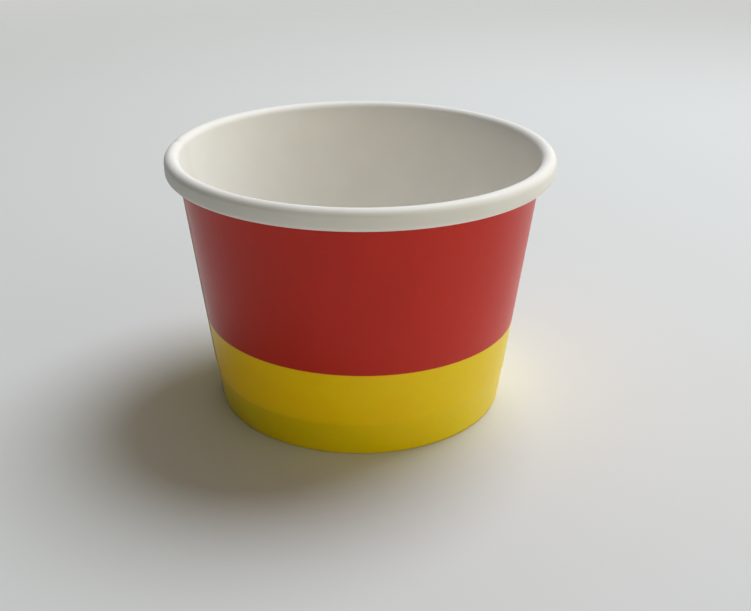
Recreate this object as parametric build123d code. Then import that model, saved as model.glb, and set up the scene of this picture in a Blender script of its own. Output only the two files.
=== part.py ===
from build123d import *
import os
from math import asin, atan2, cos, degrees, hypot, radians, sin

# Paper ice cream cup, made from two blanks of coated board.
#
# A fan-shaped blank is wrapped into a cone and sealed along a lap seam. Its upper edge is rolled outwards
# into the rim, and its lower edge is folded inwards into a hem that grips the skirt of the bottom disc, so
# the cup stands on the fold of the hem. Millimetres, +Z up, origin at the middle of the standing plane, the
# front of the cup towards -Y.

# Overall sizes
cup_height = 52.1            # standing plane to the top of the rim
rim_diameter = 76.0          # outside of the rolled rim
foot_diameter = 58.5         # outside of the wall, taken down to the standing plane
floor_height = 7.6           # standing plane to the upper face of the bottom disc

# Board
wall_board = 0.36            # thickness of the side wall's blank
disc_board = 0.32            # thickness of the bottom disc's blank
seal_gap = 0.05              # room for the seal between the two blanks

# Rolled rim
roll_width = 2.85            # inner face of the wall to the outside of the roll
roll_height = 3.95           # underside of the roll to its top
roll_tuck_gap = 0.15         # tucked end of the blank to the doubled wall at the seam

# Hem and foot
fold_radius = 0.05           # inside radius of the hem's two folds
hem_below_disc = 2.2         # bend of the disc to the cut edge of the hem
foot_step = 0.12             # crimped foot, set in from the wall above it
foot_step_length = 1.2       # height over which the wall steps out

# Bottom disc
skirt_bend_radius = 0.6      # middle of the board, where the disc turns down into its skirt
skirt_gap = 0.1              # cut edge of the skirt to the fold below it

# Lap seam, in degrees about the cup's axis
seam_start = 175.0           # cut edge that shows inside the cup, counted from +X
seam_lap = 12.0              # overlap of the two ends of the blank
seam_ramp = 4.0              # stretch over which an end climbs on or off the other

# Creases that make up a bend of the board
roll_top_creases = 3         # in each quarter of the roll's upper bend
roll_foot_creases = 2        # in each quarter of its lower bend
skirt_creases = 2            # in the bend of the disc


class BoardLine:
    """A line in the radius and height plane that a blank follows, as straight runs and creased bends."""

    def __init__(self, radius, height, heading):
        self.stops = [(Vector(radius, 0, height), heading)]

    def run(self, length, sidestep=0):
        """Go on at the same heading, and over to the right by a sidestep."""
        place, heading = self.stops[-1]
        ahead = to_the_right(heading + 90)
        self.stops.append((place + ahead * length + to_the_right(heading) * sidestep, heading))

    def bend(self, bend_radius, turn, creases=1):
        """Turn left by a positive angle in degrees, or right by a negative one, along an arc."""
        place, start_heading = self.stops[-1]
        reach = bend_radius if turn > 0 else -bend_radius
        centre = place - to_the_right(start_heading) * reach
        for crease in range(1, creases + 1):
            heading = start_heading + turn * crease / creases
            self.stops.append((centre + to_the_right(heading) * reach, heading))

    def section(self, near, far):
        """Face of a blank whose two sides lie at these distances to the right of the line."""
        near_side = [place + to_the_right(heading) * near for place, heading in self.stops]
        far_side = [place + to_the_right(heading) * far for place, heading in self.stops]
        return Face(Wire.make_polygon(near_side + far_side[::-1]))


def to_the_right(heading):
    """Unit step to the right of a heading, which counts in degrees from outwards, up and over."""
    return Vector(sin(radians(heading)), 0, -cos(radians(heading)))


# Lean of the wall: its middle line lies against the inner side of the roll's upper bend
roll_bend = (roll_width - wall_board) / 2
roll_centre_radius = rim_diameter / 2 - wall_board / 2 - roll_bend
roll_centre_height = cup_height - wall_board / 2 - roll_bend
wall_offset = foot_step - wall_board / 2
centre_reach = roll_centre_radius - foot_diameter / 2
centre_distance = hypot(centre_reach, roll_centre_height)
flare = degrees(atan2(centre_reach, roll_centre_height) - asin((roll_bend + wall_offset) / centre_distance))
lean_sin = sin(radians(flare))
lean_cos = cos(radians(flare))


def leaning_radius(height, offset):
    """Radius at a height on the line that runs outside the foot's outer face by an offset."""
    return foot_diameter / 2 + (offset + height * lean_sin) / lean_cos


# Disc: its skirt runs down the inner face of the foot
skirt_offset = -wall_board - seal_gap - disc_board / 2
disc_middle = floor_height - disc_board / 2
disc_bend_height = disc_middle - skirt_bend_radius
disc_flat_radius = leaning_radius(disc_bend_height, skirt_offset - skirt_bend_radius)
skirt_top = disc_bend_height - skirt_bend_radius * lean_sin
skirt_bottom = 2 * wall_board + skirt_gap

# Hem: the wall's board, folded up inside the skirt
hem_spacing = wall_board + disc_board + 2 * seal_gap
hem_offset = -wall_board / 2 - hem_spacing
hem_top = skirt_top - hem_below_disc
fold_bend = fold_radius + wall_board / 2
fold_flat = (hem_spacing - 2 * fold_bend) / lean_cos

# Step of the foot: it ends just under the disc's upper face
step_start = floor_height - foot_step_length
step_end = step_start + foot_step_length * lean_cos - foot_step * lean_sin

# Lower bend of the roll: it brings the board back up beside the wall
tuck_offset = wall_offset + 2 * wall_board + roll_tuck_gap
roll_lowest_middle = cup_height - roll_height + wall_board / 2
tuck_radius = leaning_radius(roll_lowest_middle, tuck_offset + wall_board / 2)
lower_reach = rim_diameter / 2 - wall_board / 2 - tuck_radius
lower_bend = lower_reach * lean_cos / (1 + lean_cos + lean_sin)


def wall_line(lift):
    """Middle of the wall's board, from the cut edge of the hem to the one inside the roll.

    The fold of the hem stands off the floor by the lift, to leave room for another layer below it.
    """
    fold_height = wall_board / 2 + lift
    hem_end = fold_height + fold_bend * (1 + lean_sin)
    foot_start = fold_height + fold_bend * (1 - lean_sin)
    wall_top = roll_centre_height + roll_bend * lean_sin

    line = BoardLine(leaning_radius(hem_top, hem_offset), hem_top, -90 - flare)
    line.run((hem_top - hem_end) / lean_cos)
    line.bend(fold_bend, 90 + flare)
    line.run(fold_flat)
    line.bend(fold_bend, 90 - flare)
    line.run((step_start - foot_start) / lean_cos)
    line.run(foot_step_length, sidestep=foot_step)
    line.run((wall_top - step_end) / lean_cos)
    line.bend(roll_bend, flare - 90, roll_top_creases)
    line.bend(roll_bend, -90, roll_top_creases)
    line.run(roll_centre_height - roll_lowest_middle - lower_bend)
    line.bend(lower_bend, -90, roll_foot_creases)
    line.bend(lower_bend, -90 - flare, roll_foot_creases)
    return line


def make_side_wall():
    """The wall's blank, once round the cup and on over its own first end."""
    single = wall_line(lift=0)
    lapped = wall_line(lift=wall_board)
    inner, middle, outer = -wall_board / 2, wall_board / 2, 3 * wall_board / 2
    lap_end = seam_start + seam_lap
    round_start = lap_end + seam_ramp
    round_end = seam_start + 360 - seam_ramp

    doubled = revolve(Rot(Z=seam_start) * lapped.section(inner, outer), Axis.Z, seam_lap)
    settling = loft(
        [Rot(Z=lap_end) * lapped.section(inner, middle), Rot(Z=round_start) * single.section(inner, middle)],
        ruled=True,
    )
    around = revolve(Rot(Z=round_start) * single.section(inner, middle), Axis.Z, round_end - round_start)
    climbing = loft(
        [Rot(Z=round_end) * single.section(inner, middle), Rot(Z=seam_start) * lapped.section(middle, outer)],
        ruled=True,
    )
    return doubled + settling + around + climbing


def make_bottom_disc():
    """The disc's blank, flat to its bend and then down the wall as a skirt."""
    line = BoardLine(0, disc_middle, 0)
    line.run(disc_flat_radius)
    line.bend(skirt_bend_radius, -90 - flare, skirt_creases)
    line.run((skirt_top - skirt_bottom) / lean_cos)
    return revolve(line.section(-disc_board / 2, disc_board / 2), Axis.Z, 360)


os.makedirs("parts", exist_ok=True)
export_step(make_side_wall(), "parts/side_wall.step")
export_step(make_bottom_disc(), "parts/bottom_disc.step")
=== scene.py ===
from math import asin, atan, atan2, cos, degrees, hypot, radians, sin

import bmesh
import bpy
from mathutils import Color, Matrix, Vector


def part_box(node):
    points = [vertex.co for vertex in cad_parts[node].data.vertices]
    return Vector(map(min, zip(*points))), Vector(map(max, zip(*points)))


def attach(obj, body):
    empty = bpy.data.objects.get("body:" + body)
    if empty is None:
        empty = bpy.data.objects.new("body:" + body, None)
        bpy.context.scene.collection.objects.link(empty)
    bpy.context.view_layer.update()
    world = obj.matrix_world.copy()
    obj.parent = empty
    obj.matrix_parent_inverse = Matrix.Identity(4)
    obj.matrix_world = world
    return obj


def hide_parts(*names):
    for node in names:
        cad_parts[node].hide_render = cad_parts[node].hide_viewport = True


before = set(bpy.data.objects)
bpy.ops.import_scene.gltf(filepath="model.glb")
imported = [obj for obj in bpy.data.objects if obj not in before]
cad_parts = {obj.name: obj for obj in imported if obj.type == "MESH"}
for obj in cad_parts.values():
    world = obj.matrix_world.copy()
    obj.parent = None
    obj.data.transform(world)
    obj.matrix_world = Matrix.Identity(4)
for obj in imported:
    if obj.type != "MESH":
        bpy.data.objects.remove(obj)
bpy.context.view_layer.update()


# Bottom disc: a round blank of white coated board, punched out and pressed into a shallow cap. Its edge is
# turned down into a skirt that leans as the side wall does, because the wall is wrapped and sealed round it
# and then folded up inside it. All sizes are in metres.
wall_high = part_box("side_wall")[1]
disc_low, disc_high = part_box("bottom_disc")
cup_height = wall_high.z
rim_radius = wall_high.y
foot_radius = 0.02925
wall_board = 0.00036
disc_board = 0.00032
seal_gap = 0.00005
roll_width = 0.00285
foot_step = 0.00012
skirt_bend = 0.0006
disc_columns = 144
merge_distance = 0.000001
crease_angle = 40
light_depth = 0.00027
even_spread = (1, 1, 1)
fibres_per_metre = 2600

roll_bend = (roll_width - wall_board) / 2
roll_centre_radius = rim_radius - wall_board / 2 - roll_bend
roll_centre_height = cup_height - wall_board / 2 - roll_bend
wall_offset = foot_step - wall_board / 2
roll_reach = roll_centre_radius - foot_radius
roll_distance = hypot(roll_reach, roll_centre_height)
flare = degrees(atan2(roll_reach, roll_centre_height) - asin((roll_bend + wall_offset) / roll_distance))
lean_sin = sin(radians(flare))
lean_cos = cos(radians(flare))


def leaning_radius(height, offset):
    """Radius at a height on the line that runs outside the foot's outer face by an offset."""
    return foot_radius + (offset + height * lean_sin) / lean_cos


def to_the_right(heading):
    """Unit step to the right of a heading, which counts in degrees from outwards, up and over."""
    return Vector((sin(radians(heading)), 0, -cos(radians(heading))))


class BoardTrace:
    """Draws one face of a bent blank in the plane of radius and height, vertex after vertex."""

    def __init__(self, bm, radius, height, heading):
        self.bm = bm
        self.tip = bm.verts.new((radius, 0, height))
        self.heading = heading

    def run(self, length, steps=1):
        """Go straight on."""
        stride = to_the_right(self.heading + 90) * (length / steps)
        for _ in range(steps):
            self.tip = bmesh.ops.extrude_vert_indiv(self.bm, verts=[self.tip])["verts"][0]
            bmesh.ops.translate(self.bm, verts=[self.tip], vec=stride)

    def bend(self, bend_radius, turn, steps):
        """Turn left by a positive angle in degrees, or right by a negative one, along an arc."""
        reach = bend_radius if turn > 0 else -bend_radius
        centre = self.tip.co - to_the_right(self.heading) * reach
        arc = bmesh.ops.spin(
            self.bm, geom=[self.tip], cent=centre, axis=(0, 1, 0), angle=-radians(turn), steps=steps
        )
        self.tip = arc["geom_last"][0]
        self.heading += turn


def thicken(bm, thickness, inner_side, cut_edge):
    """Give a drawn face its board, away from its normals, with materials for its other side and its edge."""
    drawn = set(bm.verts)
    bmesh.ops.solidify(bm, geom=bm.faces[:], thickness=thickness)
    for face in bm.faces:
        face.smooth = True
        on_drawn_side = sum(vert in drawn for vert in face.verts)
        if on_drawn_side == 0:
            face.material_index = inner_side
        elif on_drawn_side < len(face.verts):
            face.material_index = cut_edge


def make_piece(bm, name, materials):
    """A finished piece from a bmesh, with its sharp edges where the board is cut."""
    mesh = bpy.data.meshes.new(name)
    bm.to_mesh(mesh)
    bm.free()
    mesh.set_sharp_from_angle(angle=radians(crease_angle))
    for material in materials:
        mesh.materials.append(material)
    piece = bpy.data.objects.new(name, mesh)
    bpy.context.scene.collection.objects.link(piece)
    return piece


class Shade:
    """A socket among the nodes of a material or the room, on which sums can be written."""

    def __init__(self, tree, socket=None):
        self.tree = tree
        self.socket = socket

    def node(self, kind, settings=None, inputs=None, output=0):
        """Another node: its settings are set first, then the values or links of its sockets."""
        made = self.tree.nodes.new(kind)
        for name, value in (settings or {}).items():
            setattr(made, name, value)
        for name, value in (inputs or {}).items():
            if isinstance(value, Shade):
                self.tree.links.new(value.socket, made.inputs[name])
            else:
                made.inputs[name].default_value = value
        return Shade(self.tree, made.outputs[output] if made.outputs else None)

    def math(self, operation, first, second):
        """One Math node on two values or links."""
        return self.node("ShaderNodeMath", {"operation": operation}, {0: first, 1: second})

    def __add__(self, other):
        return self.math("ADD", self, other)

    def __sub__(self, other):
        return self.math("SUBTRACT", self, other)

    def __rsub__(self, other):
        return self.math("SUBTRACT", other, self)

    def __mul__(self, other):
        return self.math("MULTIPLY", self, other)

    __radd__ = __add__
    __rmul__ = __mul__


def new_material(name):
    """An empty material, and its nodes ready for sums."""
    material = bpy.data.materials.new(name)
    material.use_nodes = True
    material.node_tree.nodes.clear()
    return material, Shade(material.node_tree)


def tint(red, green, blue):
    """A colour given as it looks on a screen, from 0 to 255."""
    linear = Color((red / 255, green / 255, blue / 255)).from_srgb_to_scene_linear()
    return (*linear, 1)


def grain(shade, place, scale, detail=3.0):
    """Cloudy variation of the board, from about -0.5 to 0.5, with a scale in clouds per metre."""
    clouds = shade.node("ShaderNodeTexNoise", {}, {"Vector": place, "Scale": scale, "Detail": detail})
    return clouds - 0.5


def mix_colours(shade, share, first, second):
    """The second colour over the first, by its share."""
    return shade.node("ShaderNodeMix", {"data_type": "RGBA"}, {0: share, 6: first, 7: second}, output=2)


def coated_board(name, pale, deep, roughness):
    """Bleached board under a thin film: a cloudy white with a fine fibre relief, that lets some light in."""
    material, shade = new_material(name)
    place = shade.node("ShaderNodeTexCoord", output="Object")
    clouds = grain(shade, place, scale=140)
    fibres = grain(shade, place, scale=fibres_per_metre, detail=4)
    colour = mix_colours(shade, 0.5 + clouds * 1.3 + fibres * 0.35, pale, deep)
    relief = shade.node(
        "ShaderNodeBump", {}, {"Strength": 0.35, "Distance": 0.00004, "Height": fibres + clouds * 0.8}
    )
    surface = shade.node(
        "ShaderNodeBsdfPrincipled",
        {},
        {
            "Base Color": colour,
            "Roughness": roughness + clouds * 0.1 + fibres * 0.05,
            "IOR": 1.5,
            "Specular IOR Level": 0.3,
            "Subsurface Weight": 1,
            "Subsurface Radius": even_spread,
            "Subsurface Scale": light_depth,
            "Normal": relief,
        },
    )
    shade.node("ShaderNodeOutputMaterial", {}, {"Surface": surface})
    return material


def bare_edge(name):
    """Cut edge of the board: uncoated, a little yellower, with the layers of its fibres."""
    material, shade = new_material(name)
    place = shade.node("ShaderNodeTexCoord", output="Object")
    fibres = grain(shade, place, scale=fibres_per_metre * 2, detail=5)
    colour = mix_colours(shade, 0.5 + fibres * 1.6, tint(238, 230, 212), tint(214, 202, 178))
    relief = shade.node("ShaderNodeBump", {}, {"Strength": 0.6, "Distance": 0.00006, "Height": fibres})
    surface = shade.node(
        "ShaderNodeBsdfPrincipled",
        {},
        {"Base Color": colour, "Roughness": 0.85 + fibres * 0.1, "Normal": relief},
    )
    shade.node("ShaderNodeOutputMaterial", {}, {"Surface": surface})
    return material


white_board = coated_board("white_board", tint(242, 240, 236), tint(237, 234, 229), 0.52)
cut_board = bare_edge("cut_board_edge")

skirt_offset = -wall_board - seal_gap - disc_board / 2
bend_height = disc_high.z - disc_board / 2 - skirt_bend
flat_radius = leaning_radius(bend_height, skirt_offset - skirt_bend)
skirt_top = bend_height - skirt_bend * lean_sin
skirt_bottom = disc_low.z

disc_mesh = bmesh.new()
disc_line = BoardTrace(disc_mesh, 0, disc_high.z, 0)
disc_line.run(flat_radius, steps=12)
disc_line.bend(skirt_bend + disc_board / 2, -90 - flare, steps=10)
disc_line.run((skirt_top - skirt_bottom) / lean_cos, steps=4)
bmesh.ops.spin(
    disc_mesh,
    geom=disc_mesh.verts[:] + disc_mesh.edges[:],
    axis=(0, 0, 1),
    angle=radians(360),
    steps=disc_columns,
    use_merge=True,
)
bmesh.ops.remove_doubles(disc_mesh, verts=disc_mesh.verts[:], dist=merge_distance)
bmesh.ops.recalc_face_normals(disc_mesh, faces=disc_mesh.faces[:])
thicken(disc_mesh, disc_board, inner_side=0, cut_edge=1)
bottom_disc_board = make_piece(disc_mesh, "bottom_disc_board", [white_board, cut_board])
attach(bottom_disc_board, "root")
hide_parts("bottom_disc")


# Side wall: a fan-shaped blank of board, printed on its outer face, wrapped into a cone and sealed along a
# lap seam on the left-hand side. Its upper edge is rolled outwards, so the rim shows the white inner face,
# and its lower edge is folded in and up round the disc's skirt into the hem that the cup stands on.
floor_height = disc_high.z
roll_height = 0.00395
roll_tuck_gap = 0.00015
fold_radius = 0.00005
hem_below_disc = 0.0022
foot_step_length = 0.0012
seam_start = 175
seam_lap = 12
seam_ramp = 4
seam_columns = 8
round_columns = 136
print_line = 0.0181
print_tilt = 0.0080
print_softness = 0.00004
ink_spread = (1, 1.35, 1)

hem_spacing = wall_board + disc_board + 2 * seal_gap
hem_offset = -wall_board / 2 - hem_spacing
hem_top = skirt_top - hem_below_disc
fold_bend = fold_radius + wall_board / 2
fold_flat = (hem_spacing - 2 * fold_bend) / lean_cos
step_turn = 2 * degrees(atan(foot_step / foot_step_length))
step_bend = foot_step_length / (2 * sin(radians(step_turn)))
step_start = floor_height - foot_step_length
step_end = step_start + foot_step_length * lean_cos - foot_step * lean_sin
wall_top = roll_centre_height + roll_bend * lean_sin
tuck_offset = wall_offset + 2 * wall_board + roll_tuck_gap
roll_lowest = cup_height - roll_height + wall_board / 2
lower_reach = rim_radius - wall_board / 2 - leaning_radius(roll_lowest, tuck_offset + wall_board / 2)
lower_bend = lower_reach * lean_cos / (1 + lean_cos + lean_sin)


def trace_printed_face(bm, stand_off, lift):
    """Printed face from the cut edge of the hem to the one inside the roll.

    The face stands off to the right of the middle of the cup's first layer of board, and the fold of the
    hem stands off the floor by the lift, to leave room for another layer below it.
    """
    fold_height = wall_board / 2 + lift
    hem_end = fold_height + fold_bend * (1 + lean_sin)
    foot_start = fold_height + fold_bend * (1 - lean_sin)
    hem_heading = -90 - flare
    hem_edge = Vector((leaning_radius(hem_top, hem_offset), 0, hem_top))
    start = hem_edge + to_the_right(hem_heading) * stand_off

    line = BoardTrace(bm, start.x, start.z, hem_heading)
    line.run((hem_top - hem_end) / lean_cos, steps=4)
    line.bend(fold_bend + stand_off, 90 + flare, steps=8)
    line.run(fold_flat)
    line.bend(fold_bend + stand_off, 90 - flare, steps=8)
    line.run((step_start - foot_start) / lean_cos, steps=5)
    line.bend(step_bend - stand_off, -step_turn, steps=3)
    line.bend(step_bend + stand_off, step_turn, steps=3)
    line.run((wall_top - step_end) / lean_cos, steps=26)
    line.bend(roll_bend - stand_off, flare - 90, steps=10)
    line.bend(roll_bend - stand_off, -90, steps=10)
    line.run(roll_centre_height - roll_lowest - lower_bend, steps=2)
    line.bend(lower_bend - stand_off, -90, steps=8)
    line.bend(lower_bend - stand_off, -90 - flare, steps=8)


def wrap(bm, stand_off, lift, start, sweep, columns):
    """Sweep a stretch of the blank round the cup, and give its first and its last edges."""
    earlier = set(bm.verts)
    trace_printed_face(bm, stand_off, lift)
    verts = [vert for vert in bm.verts if vert not in earlier]
    edges = [edge for edge in bm.edges if edge.verts[0] not in earlier]
    bmesh.ops.rotate(bm, verts=verts, matrix=Matrix.Rotation(radians(start), 3, "Z"))
    swept = bmesh.ops.spin(
        bm, geom=verts + edges, axis=(0, 0, 1), angle=radians(sweep), steps=columns
    )
    return edges, [part for part in swept["geom_last"] if isinstance(part, bmesh.types.BMEdge)]


def printed_board():
    """Red print over a yellow foot band on coated board, under a glossy varnish.

    The print sits a little askew on the blank. Some light from inside the cup comes through the board, but
    not at the foot, which is three boards deep.
    """
    material, shade = new_material("printed_board")
    place = shade.node("ShaderNodeTexCoord", output="Object")
    across = shade.node("ShaderNodeSeparateXYZ", {}, {"Vector": place}, output="X")
    height = shade.node("ShaderNodeSeparateXYZ", {}, {"Vector": place}, output="Z")
    clouds = grain(shade, place, scale=90)
    speckle = grain(shade, place, scale=1500, detail=4)
    fibres = grain(shade, place, scale=fibres_per_metre, detail=4)
    red = mix_colours(shade, 0.5 + clouds * 1.2 + speckle * 0.5, tint(210, 50, 34), tint(200, 44, 30))
    yellow = mix_colours(shade, 0.5 + clouds * 1.2 + speckle * 0.5, tint(253, 221, 0), tint(247, 210, 0))
    ink_line = height + across * print_tilt + speckle * print_softness
    red_share = shade.node(
        "ShaderNodeMapRange",
        {"interpolation_type": "SMOOTHSTEP"},
        {
            "Value": ink_line,
            "From Min": print_line - print_softness,
            "From Max": print_line + print_softness,
        },
    )
    relief = shade.node(
        "ShaderNodeBump", {}, {"Strength": 0.25, "Distance": 0.00003, "Height": fibres + clouds}
    )
    surface = shade.node(
        "ShaderNodeBsdfPrincipled",
        {},
        {
            "Base Color": mix_colours(shade, red_share, yellow, red),
            "Roughness": 0.32 + clouds * 0.08 + speckle * 0.04,
            "IOR": 1.5,
            "Specular IOR Level": 0.25,
            "Subsurface Weight": 1,
            "Subsurface Radius": ink_spread,
            "Subsurface Scale": light_depth,
            "Normal": relief,
        },
    )
    shade.node("ShaderNodeOutputMaterial", {}, {"Surface": surface})
    return material


wall_mesh = bmesh.new()
first_layer = wall_board / 2
second_layer = wall_board * 3 / 2
lap_end = seam_start + seam_lap
round_start = lap_end + seam_ramp
round_sweep = 360 - seam_lap - 2 * seam_ramp
_, under_end = wrap(wall_mesh, first_layer, wall_board, seam_start, seam_lap, seam_columns)
round_first, round_last = wrap(wall_mesh, first_layer, 0, round_start, round_sweep, round_columns)
over_first, _ = wrap(wall_mesh, second_layer, wall_board, seam_start + 360, seam_lap, seam_columns)
bmesh.ops.bridge_loops(wall_mesh, edges=under_end + round_first)
bmesh.ops.bridge_loops(wall_mesh, edges=round_last + over_first)
bmesh.ops.recalc_face_normals(wall_mesh, faces=wall_mesh.faces[:])
bmesh.ops.reverse_faces(wall_mesh, faces=wall_mesh.faces[:])
thicken(wall_mesh, wall_board, inner_side=1, cut_edge=2)
side_wall_board = make_piece(wall_mesh, "side_wall_board", [printed_board(), white_board, cut_board])
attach(side_wall_board, "root")
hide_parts("side_wall")


# Floor: a large pale sheet of plain matt card that the cup stands on. Far from the cup it fades into the
# backdrop of the room, so that no edge of it shows from any side.
floor_size = 1.5
fade_start = 0.22
fade_end = 0.65
floor_card, card = new_material("pale_card")
card_place = card.node("ShaderNodeTexCoord", output="Object")
card_clouds = grain(card, card_place, scale=6)
card_colour = mix_colours(card, 0.5 + card_clouds, tint(220, 222, 221), tint(216, 218, 217))
card_surface = card.node("ShaderNodeBsdfPrincipled", {}, {"Base Color": card_colour, "Roughness": 0.75})
card_reach = card.node("ShaderNodeVectorMath", {"operation": "LENGTH"}, {0: card_place}, output="Value")
card_fade = card.node(
    "ShaderNodeMapRange",
    {"interpolation_type": "SMOOTHSTEP"},
    {"Value": card_reach, "From Min": fade_start, "From Max": fade_end},
)
card_gone = card.node("ShaderNodeBsdfTransparent")
faded_card = card.node("ShaderNodeMixShader", {}, {0: card_fade, 1: card_surface, 2: card_gone})
card.node("ShaderNodeOutputMaterial", {}, {"Surface": faded_card})
floor_mesh = bmesh.new()
bmesh.ops.create_grid(floor_mesh, x_segments=2, y_segments=2, size=floor_size / 2)
floor = make_piece(floor_mesh, "floor", [floor_card])


# Light: one soft, slightly cool lamp high on the right and a little behind the cup, in a warm room that is
# dim on the left, with a broad low glow in front on the right and a fainter one behind. The camera sees a
# plain pale backdrop.
lamp_reach = 0.9
lamp_side = 40
lamp_rise = 62
lamp_size = 0.55
lamp_power = 6.92
lamp_tint = (0.896, 0.925, 1)
lamp_aim = (0, 0, 0.02)
room_tint = (1, 0.97, 0.77, 1)
dim_room = 0.02
front_glow = 1.366
front_glow_way = Vector((0.78, -0.62, -0.18)).normalized()
back_glow = 0.673
back_glow_way = Vector((0.35, 0.90, 0.20)).normalized()
backdrop_tint = tint(206, 207, 205)

scene = bpy.context.scene
scene.view_settings.view_transform = "Standard"
room = bpy.data.worlds.new("pale_room")
room.use_nodes = True
room.node_tree.nodes.clear()
wall_paint = Shade(room.node_tree)
way = wall_paint.node("ShaderNodeTexCoord", output="Generated")
room_level = dim_room
for glow, glow_way in ((front_glow, front_glow_way), (back_glow, back_glow_way)):
    facing = wall_paint.node(
        "ShaderNodeVectorMath", {"operation": "DOT_PRODUCT"}, {0: way, 1: glow_way}, output="Value"
    )
    facing = wall_paint.node("ShaderNodeMath", {"operation": "MAXIMUM"}, {0: facing, 1: 0})
    room_level = room_level + facing * facing * glow
room_light = wall_paint.node("ShaderNodeBackground", {}, {"Color": room_tint, "Strength": room_level})
backdrop = wall_paint.node("ShaderNodeBackground", {}, {"Color": backdrop_tint, "Strength": 1})
seen = wall_paint.node("ShaderNodeLightPath", output="Is Camera Ray")
mirrored = wall_paint.node("ShaderNodeLightPath", output="Is Glossy Ray")
seen_through = wall_paint.node("ShaderNodeLightPath", output="Is Transmission Ray")
room_look = wall_paint.node(
    "ShaderNodeMixShader", {}, {0: seen + mirrored + seen_through, 1: room_light, 2: backdrop}
)
wall_paint.node("ShaderNodeOutputWorld", {}, {"Surface": room_look})
scene.world = room

lamp_light = bpy.data.lights.new("soft_lamp", "AREA")
lamp_light.shape = "DISK"
lamp_light.size = lamp_size
lamp_light.energy = lamp_power
lamp_light.color = lamp_tint
lamp = bpy.data.objects.new("soft_lamp", lamp_light)
lamp.matrix_world = (
    Matrix.Translation(lamp_aim)
    @ Matrix.Rotation(radians(lamp_side + 90), 4, "Z")
    @ Matrix.Rotation(radians(90 - lamp_rise), 4, "X")
    @ Matrix.Translation((0, 0, lamp_reach))
)
scene.collection.objects.link(lamp)


# Camera: close in front of the cup and above it, looking down into it as the photograph does. The lens is
# given by its focal length in pixels of an image 751 pixels wide.
camera_place = (0, -0.19948, 0.10922)
camera_yaw = 0.883
camera_pitch = 24.625
camera_roll = 0.3
image_width = 751
focal_pixels = 1048.875

lens = bpy.data.cameras.new("camera")
lens.sensor_width = 36
lens.lens = lens.sensor_width * focal_pixels / image_width
lens.clip_start = 0.01
camera = bpy.data.objects.new("camera", lens)
camera.matrix_world = (
    Matrix.Translation(camera_place)
    @ Matrix.Rotation(radians(-camera_yaw), 4, "Z")
    @ Matrix.Rotation(radians(90 - camera_pitch), 4, "X")
    @ Matrix.Rotation(radians(camera_roll), 4, "Z")
)
scene.collection.objects.link(camera)
scene.camera = camera

bpy.context.view_layer.update()
